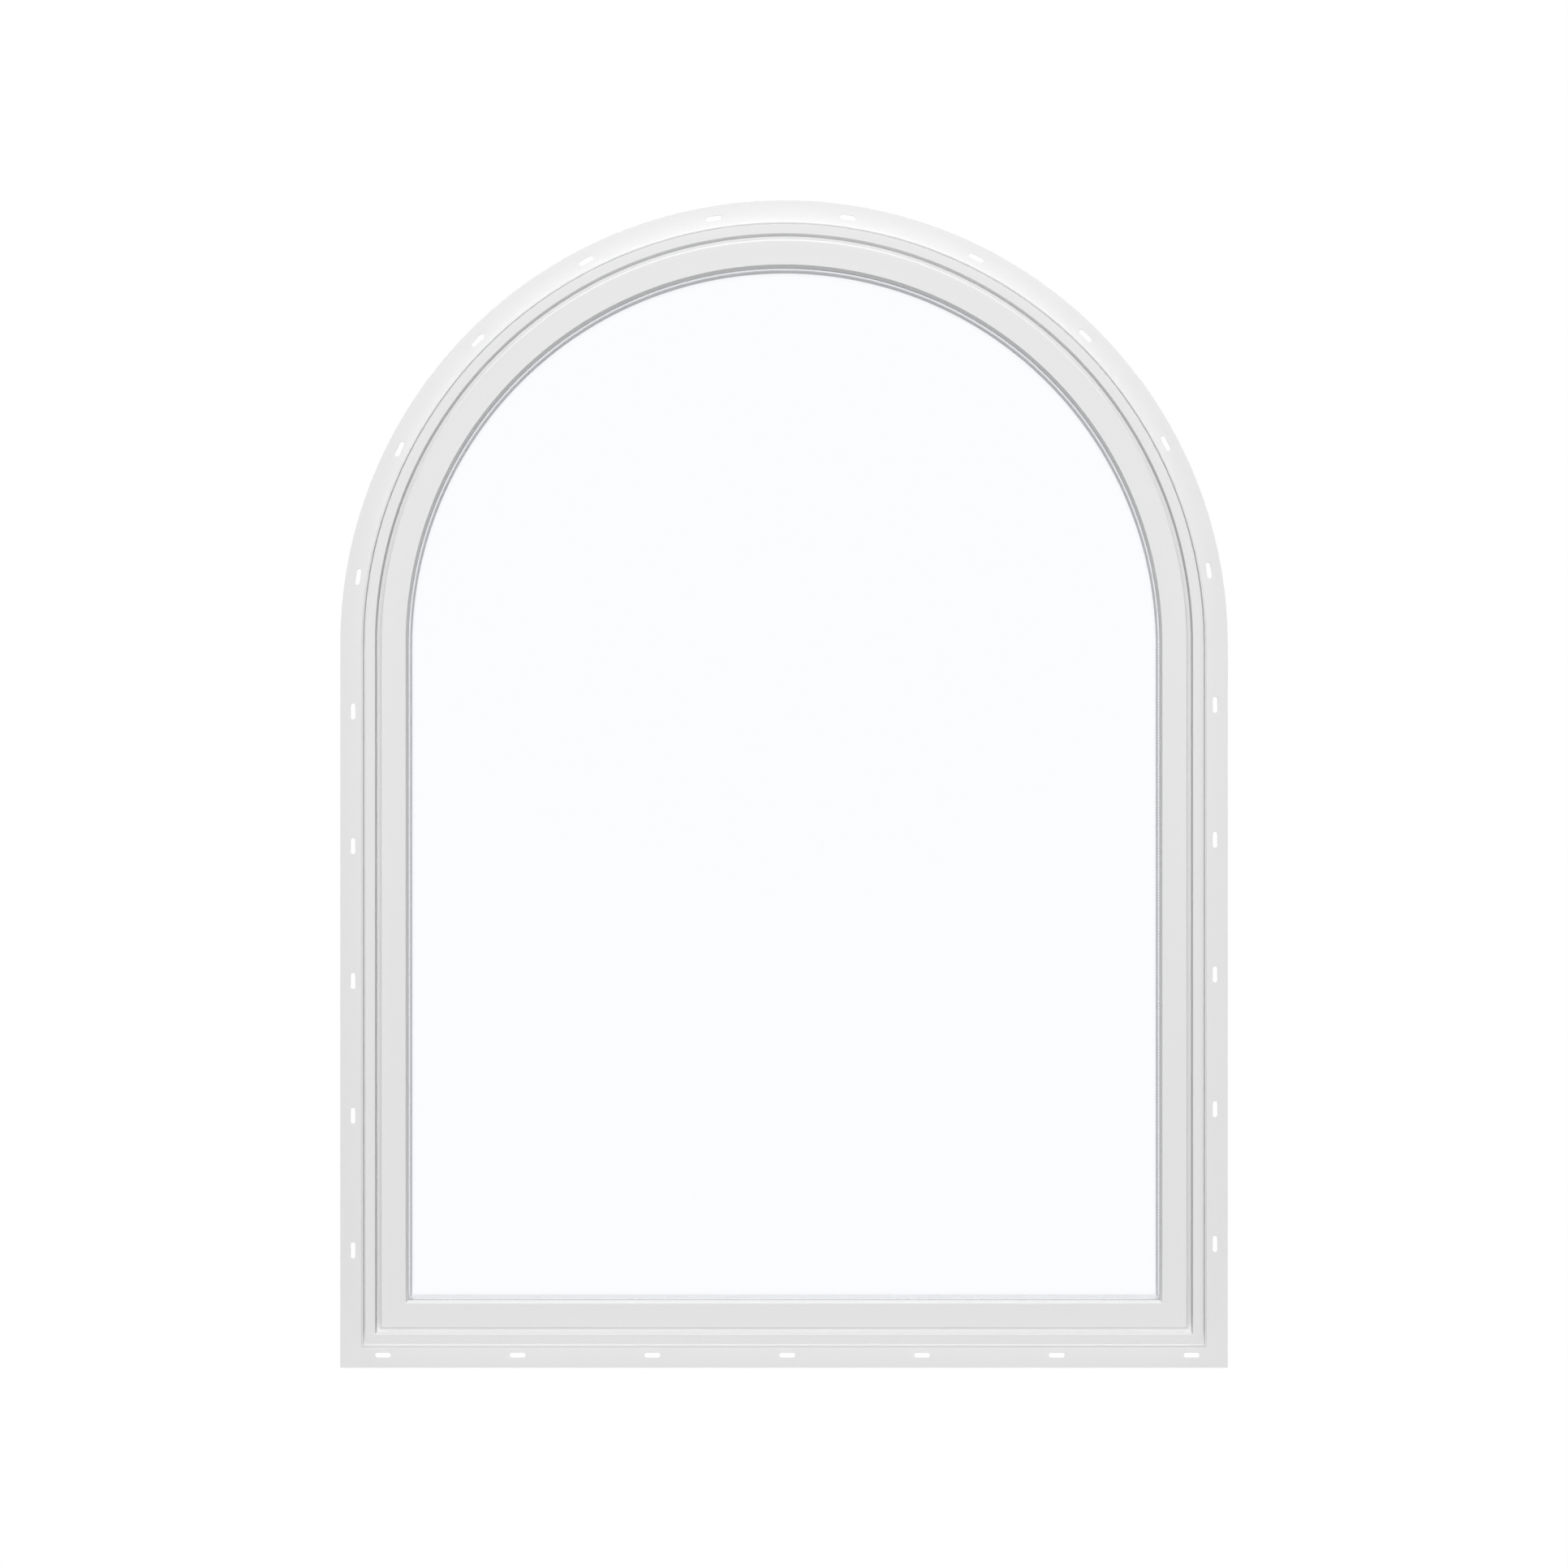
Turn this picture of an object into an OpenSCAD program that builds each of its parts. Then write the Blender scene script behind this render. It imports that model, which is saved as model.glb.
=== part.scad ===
// Arched top picture window in white vinyl, with a slotted nailing fin all round.
// Frame of the part: x to the right, y into the wall, z up. The fin's back face is y = 0,
// the middle of the sill is x = 0 and the underside of the frame is z = 0.
// Every bar is one hollow profile, drawn once as (u, d): u inward from the frame's outer
// face, d towards the outdoors. Straight bars extrude it and the head turns it round.

/* [Overall] */
// Width of the frame without its fin
frame_w = 901.7; // [700:0.1:1200]
// Height of the frame without its fin
frame_h = 1206.5; // [1000:0.1:1500]
// How far the outdoor face stands in front of the fin's back face
setback = 34.925; // [32:0.025:40]

/* [Nailing fin] */
// Width of the fin outside the frame
fin_w = 31.75; // [28:0.25:38]
// Thickness of the fin
fin_t = 1.6; // [1.3:0.1:2]
// Thickness of the tongue that holds the fin in the frame
tongue_t = 1.1; // [0.9:0.05:1.2]
// How deep the tongue sits in the frame's groove
tongue_h = 3.6; // [2.5:0.1:4.5]
// Gap between the frame's side and the fin's siding lip
lip_gap = 5.65; // [4.5:0.05:7]
// Thickness of the siding lip
lip_t = 1.95; // [1.5:0.05:2.4]
// How far the siding lip stands in front of the fin
lip_h = 10; // [7:0.25:13]
// Bevel on the lip's outer edge
lip_bevel = 0.8; // [0.4:0.05:1.2]
// Length of a nail slot, end to end
slot_len = 17.5; // [14:0.5:22]
// Width of a nail slot
slot_w = 5.2; // [4:0.1:7]
// Distance from the fin's outer edge to the line of slots
slot_edge = 13.7; // [11:0.1:16]
// Distance from the lower right corner of the slot line to the first slot
slot_first = 25.6; // [20:0.1:32]
// Number of slots round the fin
slot_count = 27; // [20:1:32]

/* [Frame] */
// Width of the frame's outdoor nose
nose_w = 10; // [8:0.25:12]
// Depth of the nose in front of the ledge
nose_h = 18.5; // [15.5:0.1:21]
// Radius on the frame's and the sash's edges
edge_r = 1.2; // [0.6:0.1:1.6]
// Width of the ledge beside the nose
ledge_w = 8.5; // [7:0.1:10]
// How far the indoor stop stands out of the pocket's wall
stop_w = 12.5; // [10:0.25:15]
// Thickness of the indoor stop
stop_t = 7.6; // [6.5:0.1:9]
// Thickness of an outside wall of the hollow profiles
wall = 1.8; // [1.5:0.05:2.1]
// Thickness of a web between two chambers
web = 1.2; // [1:0.05:1.4]

/* [Sash] */
// Gap that shows between the nose and the sash
reveal_gap = 4.55; // [3.5:0.05:5.5]
// How far the sash's outdoor face stands behind the frame's
sash_step = 8.3; // [7:0.1:10]
// Bevel on the sash's outer edge
sash_bevel = 1.8; // [1:0.1:2.4]
// Gap between the pocket's wall and the sash's body
pocket_gap = 2; // [1.5:0.1:2.5]
// Thickness of the sash's body beside the glass
body_w = 9; // [8.5:0.1:11]
// How far the glazing leg and the bead reach over the edge of the glass pocket
leg_w = 12.75; // [11.5:0.05:14]
// Distance from the fin's back face to the glazing leg, towards the outdoors
leg_d = 2; // [1:0.1:3]

/* [Seals] */
// Room for the outer weatherstrip between ledge and sash
strip_gap = 3.4; // [3:0.1:4]
// Room for the inner weatherstrip between sash and stop
seal_gap = 2; // [1.7:0.1:2.4]
// Thickness of a weatherstrip's root
root_t = 1.2; // [1:0.05:1.4]
// How deep a weatherstrip's root sits in its groove
root_h = 2.6; // [2:0.1:3]
// Thickness of the outdoor glazing tape
tape_t = 2; // [1.5:0.1:2.5]
// Thickness of the gasket under the glazing bead
gasket_t = 1.5; // [1:0.1:2]
// How far the tape and gasket stay back from the sight line
tape_back = 0.5; // [0.2:0.05:1]

/* [Glass unit] */
// Thickness of one pane
pane_t = 3; // [2.5:0.1:4]
// Depth of the spacer between the panes
spacer_t = 9.875; // [8:0.125:14]
// Height of the spacer bar
spacer_h = 7; // [6:0.25:7.5]
// Wall of the spacer bar
spacer_wall = 0.6; // [0.4:0.05:0.8]
// Slant on the spacer's shoulders
shoulder = 1.8; // [1.2:0.1:2.4]
// Length of a corner key's leg, and of a splice key
key_leg = 28; // [20:1:30]
// Gap between the pocket's floor and the edge of the glass
block_t = 3; // [2:0.1:3.5]
// Length of a setting block
block_len = 100; // [75:5:120]

/* [Glazing bead] */
// Depth of the bead from its gasket to the indoor face
bead_depth = 20.65; // [17.5:0.025:23]
// Bevel on the bead's indoor edge
bead_bevel = 1.4; // [0.8:0.1:2.6]
// Thickness of the bead's snap foot
foot_t = 1.4; // [1.2:0.1:1.7]
// How deep the bead's snap foot sits in the sash
foot_h = 3.6; // [3:0.1:4]
// How far the barb stands out of the snap foot
barb = 0.6; // [0.4:0.05:0.8]

/* [Hidden] */

// Half turn of the head and the steps of a full turn
half_turn = 180;
arc_fn = 180;
round_fn = 32;
// Arch centre and its radius to the frame's outer face
arch_r = frame_w / 2;
spring_z = frame_h - arch_r;
// Depth lines, measured towards the outdoors from the fin's back face
front_d = setback;
ledge_d = front_d - nose_h;
sash_front = front_d - sash_step;
flange_d = ledge_d + strip_gap;
glass_d = leg_d - tape_t;
gap_d = glass_d - pane_t;
pane2_d = gap_d - spacer_t;
bead_d = pane2_d - pane_t - gasket_t;
sash_back = bead_d - bead_depth;
stop_d = sash_back - seal_gap;
back_d = stop_d - stop_t;
frame_depth = front_d - back_d;
// Middle of the bead's snap foot
foot_d = (bead_d + sash_back) / 2;
// Inward lines, measured from the frame's outer face
sash_u = nose_w + reveal_gap;
pocket_u = nose_w + ledge_w;
stop_u = pocket_u + stop_w;
body_u = pocket_u + pocket_gap;
rebate_u = body_u + body_w;
sight_u = rebate_u + leg_w;
glass_u = rebate_u + block_t;
spacer_u = sight_u - spacer_h;
key_t = spacer_h - 2 * spacer_wall - shoulder;
// Middle of the root of each weatherstrip
strip_u = pocket_u - wall;
seal_u = body_u + wall + root_t;
// Room that the mitre zones take beyond the profiles
zone = sight_u + fin_w;
// Slot line: half its width, the lengths of its runs, and the distance between slots
line_r = arch_r + fin_w - slot_edge;
run_sill = 2 * line_r;
run_side = spring_z + line_r - arch_r;
run_arch = PI * line_r;
slot_pitch = (run_sill + 2 * run_side + run_arch) / slot_count;

white = [0.92, 0.92, 0.91];
clear_tint = [0.8, 0.88, 0.92, 0.35];
metal = [0.72, 0.73, 0.74];
dark_rubber = [0.16, 0.16, 0.17];
pale_rubber = [0.62, 0.62, 0.62];

// Plain 2D box from one corner to the other
module box2(a, b) {
    translate([min(a[0], b[0]), min(a[1], b[1])])
        square([abs(b[0] - a[0]), abs(b[1] - a[1])]);
}

// What a round takes off a corner at p; s points from the corner into the material
module eased(p, s, r) {
    difference() {
        box2(p, [p[0] + s[0] * r, p[1] + s[1] * r]);
        translate([p[0] + s[0] * r, p[1] + s[1] * r])
            circle(r, $fn = round_fn);
    }
}

// Bars: the head turns the profile round, the others extrude it to their mitres
module head() {
    translate([0, 0, spring_z])
        rotate([90, 0, 0])
            rotate_extrude(angle = half_turn, $fn = arc_fn)
                translate([arch_r, 0])
                    mirror([1, 0])
                        children();
}

module in_zone(points) {
    intersection() {
        children();
        rotate([90, 0, 0])
            linear_extrude(2 * frame_depth, center = true)
                polygon(points);
    }
}

module left_bar() {
    in_zone([
        [-arch_r - zone, -zone], [-arch_r - zone, spring_z],
        [-arch_r + zone, spring_z], [-arch_r + zone, zone]
    ])
        translate([-arch_r, 0, -zone])
            mirror([0, 1, 0])
                linear_extrude(spring_z + zone)
                    children();
}

module right_bar() {
    mirror([1, 0, 0])
        left_bar()
            children();
}

module bottom_bar() {
    in_zone([
        [-arch_r - zone, -zone], [arch_r + zone, -zone],
        [arch_r - zone, zone], [-arch_r + zone, zone]
    ])
        translate([-arch_r - zone, 0, 0])
            rotate([0, -90, 180])
                linear_extrude(2 * (arch_r + zone))
                    children();
}

// A strip all the way round
module loop() {
    head()
        children();
    left_bar()
        children();
    right_bar()
        children();
    bottom_bar()
        children();
}

// Plan of the daylight shape, set in by u from the frame's outer face
module arch_plan(u) {
    translate([-arch_r + u, u])
        square([2 * (arch_r - u), spring_z - u]);
    translate([0, spring_z])
        circle(arch_r - u, $fn = arc_fn);
}

// Flat plate from depth d towards the outdoors, t thick
module plate(d, t) {
    translate([0, -d, 0])
        rotate([90, 0, 0])
            linear_extrude(t)
                children();
}

// Root of a weatherstrip, or the groove that it is pushed into
module root(u, d) {
    box2([u - root_t / 2, d], [u + root_t / 2, d - root_h]);
}

// Material left round a root's groove inside a chamber
module root_house(u, d) {
    side = root_t / 2 + web;
    box2([u - side, d], [u + side, d - root_h - web]);
}

// Frame: a nose, a ledge, a pocket wall and an indoor stop round its chambers
module frame_profile() {
    groove_top = fin_t + wall;
    mid_d = (stop_d - wall) / 2;
    difference() {
        polygon([
            [0, front_d], [nose_w, front_d], [nose_w, ledge_d], [pocket_u, ledge_d],
            [pocket_u, stop_d], [stop_u, stop_d], [stop_u, back_d], [0, back_d]
        ]);
        eased([0, front_d], [1, -1], edge_r);
        eased([nose_w, front_d], [-1, -1], edge_r);
        eased([stop_u, back_d], [-1, 1], edge_r);
        eased([stop_u, stop_d], [-1, -1], edge_r);
        difference() {
            union() {
                // chamber of the nose
                box2([wall, front_d - wall], [nose_w - wall, ledge_d + web - wall]);
                // chamber in front of the fin's groove and beside it
                box2([wall, ledge_d - wall], [pocket_u - wall, groove_top]);
                box2([tongue_h + wall, ledge_d - wall], [pocket_u - wall, web - wall]);
                // two chambers behind the groove
                box2([wall, -wall], [pocket_u - wall, mid_d]);
                box2([wall, mid_d - web], [pocket_u - wall, stop_d]);
                // chamber of the stop
                box2([wall, stop_d - web], [stop_u - wall, back_d + wall]);
            }
            root_house(strip_u, ledge_d);
            root_house(seal_u, stop_d);
        }
        root(strip_u, ledge_d);
        root(seal_u, stop_d);
        // groove for the fin's tongue
        box2([0, fin_t - tongue_t], [tongue_h, fin_t]);
    }
}

// Fin: its tongue goes into the frame's groove, and siding runs up to its lip
module fin_profile() {
    lip_front = fin_t + lip_h;
    polygon([
        [tongue_h, fin_t - tongue_t], [tongue_h, fin_t], [-lip_gap, fin_t],
        [-lip_gap, lip_front], [-lip_gap - lip_t + lip_bevel, lip_front],
        [-lip_gap - lip_t, lip_front - lip_bevel], [-lip_gap - lip_t, fin_t],
        [-lip_gap - lip_t, 0], [0, 0], [0, fin_t - tongue_t]
    ]);
}

// Places children at each slot: the line runs left along the sill, up the left side,
// over the arch and down the right side
module at_slots() {
    for (k = [0:slot_count - 1]) {
        s = slot_first + k * slot_pitch;
        side = s - run_sill;
        arch = side - run_side;
        down = arch - run_arch;
        turn = half_turn * arch / run_arch;
        if (side < 0)
            translate([line_r - s, arch_r - line_r])
                children();
        else if (arch < 0)
            translate([-line_r, arch_r - line_r + side])
                rotate(90)
                    children();
        else if (down < 0)
            translate([-line_r * cos(turn), spring_z + line_r * sin(turn)])
                rotate(90 - turn)
                    children();
        else
            translate([line_r, spring_z - down])
                rotate(90)
                    children();
    }
}

module slot_shape() {
    half = (slot_len - slot_w) / 2;
    translate([-half, -slot_w / 2])
        square([2 * half, slot_w]);
    for (x = [-half, half])
        translate([x, 0])
            circle(slot_w / 2, $fn = round_fn);
}

// Flat ring that follows the arch from one inward line to another
module ring(d0, d1, u0, u1) {
    plate(min(d0, d1), abs(d1 - d0))
        difference() {
            arch_plan(min(u0, u1));
            arch_plan(max(u0, u1));
        }
}

// Plan of one stretch of the flat strip from the fin's outer edge to behind its lip
module fin_plan(points) {
    difference() {
        intersection() {
            difference() {
                arch_plan(-fin_w);
                arch_plan(-lip_gap);
            }
            polygon(points);
        }
        at_slots()
            slot_shape();
    }
}

module fin_side() {
    plate(0, fin_t)
        fin_plan([
            [-arch_r - zone, -zone], [-arch_r - zone, spring_z],
            [-arch_r + zone, spring_z], [-arch_r + zone, zone]
        ]);
}

// Outline of the bead's snap foot, which is also that of the groove it clicks into
function foot_points() =
    let (tip = rebate_u - foot_h, half = foot_t / 2)
    [
        [rebate_u, foot_d - half], [tip + 2 * barb, foot_d - half],
        [tip + 2 * barb, foot_d - half - barb], [tip + barb, foot_d - half - barb],
        [tip, foot_d - half], [tip, foot_d + half], [rebate_u, foot_d + half]
    ];

// Sash: a hollow rail with a flange over the ledge and a leg in front of the glass
module sash_profile() {
    slant = wall / 2;
    leg_in = rebate_u - wall + web;
    foot_side = foot_t / 2 + barb + web;
    low_d = leg_d + wall - web;
    difference() {
        polygon([
            [sash_u + sash_bevel, sash_front], [sash_u, sash_front - sash_bevel],
            [sash_u, flange_d], [body_u, flange_d], [body_u, sash_back],
            [rebate_u, sash_back], [rebate_u, leg_d], [sight_u, leg_d],
            [sight_u, sash_front]
        ]);
        eased([sight_u, sash_front], [-1, -1], edge_r);
        // chambers of the face: over the flange, over the body and over the leg
        polygon([
            [sash_u + wall, flange_d + wall], [body_u, flange_d + wall],
            [body_u, sash_front - wall], [sash_u + sash_bevel + slant, sash_front - wall],
            [sash_u + wall, sash_front - sash_bevel - slant]
        ]);
        box2([body_u + web, sash_front - wall], [rebate_u - wall, leg_d + wall]);
        box2([leg_in, sash_front - wall], [sight_u - wall, leg_d + wall]);
        // chambers of the body, one on each side of the snap foot and one behind it
        box2([body_u + wall, low_d], [rebate_u - wall, foot_d + foot_side]);
        box2([body_u + wall, foot_d + foot_side], [rebate_u - foot_h - web, foot_d - foot_side]);
        box2([body_u + wall, foot_d - foot_side], [rebate_u - wall, sash_back + wall]);
        polygon(foot_points());
    }
}

// Glazing bead: a hollow bar behind the glass with a foot that snaps into the sash
module bead_profile() {
    slant = web / 2;
    difference() {
        polygon(concat([
            [rebate_u, bead_d], [sight_u, bead_d], [sight_u, sash_back + bead_bevel],
            [sight_u - bead_bevel, sash_back], [rebate_u, sash_back]
        ], foot_points()));
        polygon([
            [rebate_u + web, bead_d - web], [sight_u - web, bead_d - web],
            [sight_u - web, sash_back + bead_bevel + slant],
            [sight_u - bead_bevel - slant, sash_back + web], [rebate_u + web, sash_back + web]
        ]);
    }
}

// Spacer: a thin tube between the panes, with slanted shoulders for the sealant
module spacer_outline(t) {
    low = spacer_u + t;
    top = sight_u - t;
    slant = shoulder - t / 2;
    polygon([
        [top, gap_d - t], [low + slant, gap_d - t], [low, gap_d - t - slant],
        [low, pane2_d + t + slant], [low + slant, pane2_d + t], [top, pane2_d + t]
    ]);
}

module spacer_profile() {
    difference() {
        spacer_outline(0);
        spacer_outline(spacer_wall);
    }
}

// Keys that plug into the ends of the spacer tubes: an elbow at each lower corner and a
// straight one at each end of the arch
module key_plate() {
    plate(pane2_d + spacer_wall, spacer_t - 2 * spacer_wall)
        children();
}

module corner_key() {
    low = sight_u - spacer_wall - key_t;
    corner = low - arch_r;
    key_plate()
        polygon([
            [corner, low], [corner + key_leg, low], [corner + key_leg, low + key_t],
            [corner + key_t, low + key_t], [corner + key_t, low + key_leg],
            [corner, low + key_leg]
        ]);
}

module splice_key() {
    key_plate()
        translate([sight_u - spacer_wall - key_t - arch_r, spring_z - key_leg / 2])
            square([key_t, key_leg]);
}

module glass_pane(d) {
    plate(d - pane_t, pane_t)
        arch_plan(glass_u);
}

module setting_block(x) {
    translate([x - block_len / 2, -glass_d, rebate_u])
        cube([block_len, 2 * pane_t + spacer_t, block_t]);
}

module frame_head() {
    color(white)
        head()
            frame_profile();
}

module frame_jamb_left() {
    color(white)
        left_bar()
            frame_profile();
}

module frame_jamb_right() {
    color(white)
        right_bar()
            frame_profile();
}

module frame_sill() {
    color(white)
        bottom_bar()
            frame_profile();
}

module nailing_fin_head() {
    color(white) {
        plate(0, fin_t)
            fin_plan([
                [-arch_r - zone, spring_z], [arch_r + zone, spring_z],
                [arch_r + zone, frame_h + zone], [-arch_r - zone, frame_h + zone]
            ]);
        head()
            fin_profile();
    }
}

module nailing_fin_left() {
    color(white) {
        fin_side();
        left_bar()
            fin_profile();
    }
}

module nailing_fin_right() {
    color(white) {
        plate(0, fin_t)
            fin_plan([
                [arch_r + zone, -zone], [arch_r + zone, spring_z],
                [arch_r - zone, spring_z], [arch_r - zone, zone]
            ]);
        right_bar()
            fin_profile();
    }
}

module nailing_fin_sill() {
    color(white) {
        plate(0, fin_t)
            fin_plan([
                [-arch_r - zone, -zone], [arch_r + zone, -zone],
                [arch_r - zone, zone], [-arch_r + zone, zone]
            ]);
        bottom_bar()
            fin_profile();
    }
}

module sash_head() {
    color(white)
        head()
            sash_profile();
}

module sash_stile_left() {
    color(white)
        left_bar()
            sash_profile();
}

module sash_stile_right() {
    color(white)
        right_bar()
            sash_profile();
}

module sash_bottom_rail() {
    color(white)
        bottom_bar()
            sash_profile();
}

module glazing_bead_head() {
    color(white)
        head()
            bead_profile();
}

module glazing_bead_left() {
    color(white)
        left_bar()
            bead_profile();
}

module glazing_bead_right() {
    color(white)
        right_bar()
            bead_profile();
}

module glazing_bead_bottom() {
    color(white)
        bottom_bar()
            bead_profile();
}

module glass_outdoor() {
    color(clear_tint)
        glass_pane(glass_d);
}

module glass_indoor() {
    color(clear_tint)
        glass_pane(pane2_d);
}

module spacer_head() {
    color(metal)
        head()
            spacer_profile();
}

module spacer_left() {
    color(metal)
        left_bar()
            spacer_profile();
}

module spacer_right() {
    color(metal)
        right_bar()
            spacer_profile();
}

module spacer_bottom() {
    color(metal)
        bottom_bar()
            spacer_profile();
}

module splice_key_left() {
    color(dark_rubber)
        splice_key();
}

module splice_key_right() {
    color(dark_rubber)
        mirror([1, 0, 0])
            splice_key();
}

module corner_key_left() {
    color(dark_rubber)
        corner_key();
}

module corner_key_right() {
    color(dark_rubber)
        mirror([1, 0, 0])
            corner_key();
}

module edge_sealant() {
    color(dark_rubber)
        difference() {
            ring(gap_d, pane2_d, glass_u, spacer_u + shoulder);
            loop()
                spacer_outline(0);
        }
}

module glazing_tape() {
    color(pale_rubber)
        ring(leg_d, glass_d, glass_u, sight_u - tape_back);
}

module bead_gasket() {
    color(pale_rubber)
        ring(pane2_d - pane_t, bead_d, glass_u, sight_u - tape_back);
}

module weatherstrip_outer() {
    r = strip_gap / 2;
    color(dark_rubber)
        loop() {
            difference() {
                union() {
                    root(strip_u, ledge_d);
                    box2([strip_u - root_t / 2, ledge_d], [strip_u + root_t / 2, ledge_d + r / 2]);
                    translate([strip_u, ledge_d + r])
                        circle(r, $fn = round_fn);
                }
                translate([strip_u, ledge_d + r])
                    circle(r / 2, $fn = round_fn);
            }
        }
}

module weatherstrip_inner() {
    color(dark_rubber) {
        ring(stop_d, sash_back, seal_u - seal_gap, seal_u + seal_gap);
        ring(stop_d - root_h, sash_back, seal_u - root_t / 2, seal_u + root_t / 2);
    }
}

module setting_block_left() {
    color(dark_rubber)
        setting_block(-arch_r / 2);
}

module setting_block_right() {
    color(dark_rubber)
        setting_block(arch_r / 2);
}

frame_head();
frame_jamb_left();
frame_jamb_right();
frame_sill();
nailing_fin_head();
nailing_fin_left();
nailing_fin_right();
nailing_fin_sill();
sash_head();
sash_stile_left();
sash_stile_right();
sash_bottom_rail();
glazing_bead_head();
glazing_bead_left();
glazing_bead_right();
glazing_bead_bottom();
glass_outdoor();
glass_indoor();
spacer_head();
spacer_left();
spacer_right();
spacer_bottom();
splice_key_left();
splice_key_right();
corner_key_left();
corner_key_right();
edge_sealant();
glazing_tape();
bead_gasket();
weatherstrip_outer();
weatherstrip_inner();
setting_block_left();
setting_block_right();
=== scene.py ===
# %% [markdown]
# # An arched top picture window in white vinyl
# The window is a fixed one: a hollow vinyl frame bent into a half circle at the top, a
# sash inside it, two panes with a metal spacer, and a thin nailing fin all round with a
# slot every 15 cm or so. The CAD model already holds every bar at its true size, so this
# script has two jobs: to give each surface the finish of the real material, and to add
# what is too fine for the CAD model. Everything is in metres, x to the right, y into the
# wall and z up, with the fin's back face at y = 0 and the frame's underside at z = 0.

# %% Load the measured parts
import math

import bmesh
import bpy
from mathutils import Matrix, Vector


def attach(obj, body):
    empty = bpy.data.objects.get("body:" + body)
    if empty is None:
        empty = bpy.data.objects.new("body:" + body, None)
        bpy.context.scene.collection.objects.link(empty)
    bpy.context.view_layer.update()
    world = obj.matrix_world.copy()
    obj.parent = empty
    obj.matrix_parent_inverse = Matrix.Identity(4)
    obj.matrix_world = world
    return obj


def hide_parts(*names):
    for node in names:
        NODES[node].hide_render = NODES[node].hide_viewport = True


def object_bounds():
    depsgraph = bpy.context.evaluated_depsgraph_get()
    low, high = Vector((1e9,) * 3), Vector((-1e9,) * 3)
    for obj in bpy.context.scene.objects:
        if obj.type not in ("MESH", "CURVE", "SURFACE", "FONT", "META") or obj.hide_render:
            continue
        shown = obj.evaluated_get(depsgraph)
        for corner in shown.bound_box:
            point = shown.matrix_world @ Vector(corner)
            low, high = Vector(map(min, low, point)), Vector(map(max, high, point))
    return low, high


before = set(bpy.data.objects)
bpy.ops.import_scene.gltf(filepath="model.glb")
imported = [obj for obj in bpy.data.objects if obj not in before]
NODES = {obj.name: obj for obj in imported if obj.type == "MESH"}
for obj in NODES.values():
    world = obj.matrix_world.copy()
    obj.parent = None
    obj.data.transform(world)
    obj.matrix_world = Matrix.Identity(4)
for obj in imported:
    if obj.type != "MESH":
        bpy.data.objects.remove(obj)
cad_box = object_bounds()
print("parts loaded:", len(NODES), "box:", [[round(v, 4) for v in c] for c in cad_box])

# %% [markdown]
# ## Where the camera stands
# The photograph looks straight at the window from outdoors, level with its middle. The
# steps of the frame shift inwards a little with depth, as they do from 3.6 m away, and
# that distance fixes the lens: the fin is 965.2 mm wide and covers 1092.9 of the
# picture's 1932 pixels.

# %% Camera
PICTURE_PX = 1932
SENSOR_MM = 36.0
FIN_WIDTH = 0.9652
FIN_PX = 1092.9
DISTANCE = 3.6

low, high = (Vector(c) for c in cad_box)
middle = (low + high) / 2
focal_px = FIN_PX / FIN_WIDTH * DISTANCE
camera_data = bpy.data.cameras.new("camera")
camera_data.sensor_width = SENSOR_MM
camera_data.lens = focal_px / PICTURE_PX * SENSOR_MM
camera = bpy.data.objects.new("camera", camera_data)
camera.location = (0, -DISTANCE, middle.z)
camera.rotation_euler = (math.radians(90), 0, 0)
bpy.context.collection.objects.link(camera)
bpy.context.scene.camera = camera
print("lens", round(camera_data.lens, 2), "mm, camera height", round(middle.z, 4))

# %% [markdown]
# ## Writing node trees as sums
# A material is a graph of nodes, and so is a Geometry Nodes tree, but most of what they do
# is arithmetic. The small class below wraps a socket, so that `1 - mask` or
# `mask * 0.2 + 0.4` adds the Math nodes by itself. Every other node comes from one method
# that takes the node's type, its settings and the values or links of its inputs.

# %% Node helpers
class Value:
    """One number or vector in a node tree, as the output socket that carries it."""

    def __init__(self, tree, socket):
        self.tree, self.socket = tree, socket

    def _math(self, kind, a, b):
        """A Math node that works on two of these, or on one and a plain number."""
        return self.tree.node("ShaderNodeMath", {"operation": kind}, {0: a, 1: b})["Value"]

    def __add__(self, other):
        return self._math("ADD", self, other)

    def __sub__(self, other):
        return self._math("SUBTRACT", self, other)

    def __rsub__(self, other):
        return self._math("SUBTRACT", other, self)

    def __mul__(self, other):
        return self._math("MULTIPLY", self, other)

    def __truediv__(self, other):
        return self._math("DIVIDE", self, other)

    def __mod__(self, other):
        return self._math("MODULO", self, other)

    def __pow__(self, other):
        return self._math("POWER", self, other)

    def __lt__(self, other):
        return self._math("LESS_THAN", self, other)

    __radd__, __rmul__ = __add__, __mul__

    def most(self, other):
        """The greater of the two."""
        return self._math("MAXIMUM", self, other)

    def least(self, other):
        """The smaller of the two."""
        return self._math("MINIMUM", self, other)

    def floor(self):
        return self._math("FLOOR", self, 0)

    def size(self):
        """The number without its sign."""
        return self._math("ABSOLUTE", self, 0)


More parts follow.
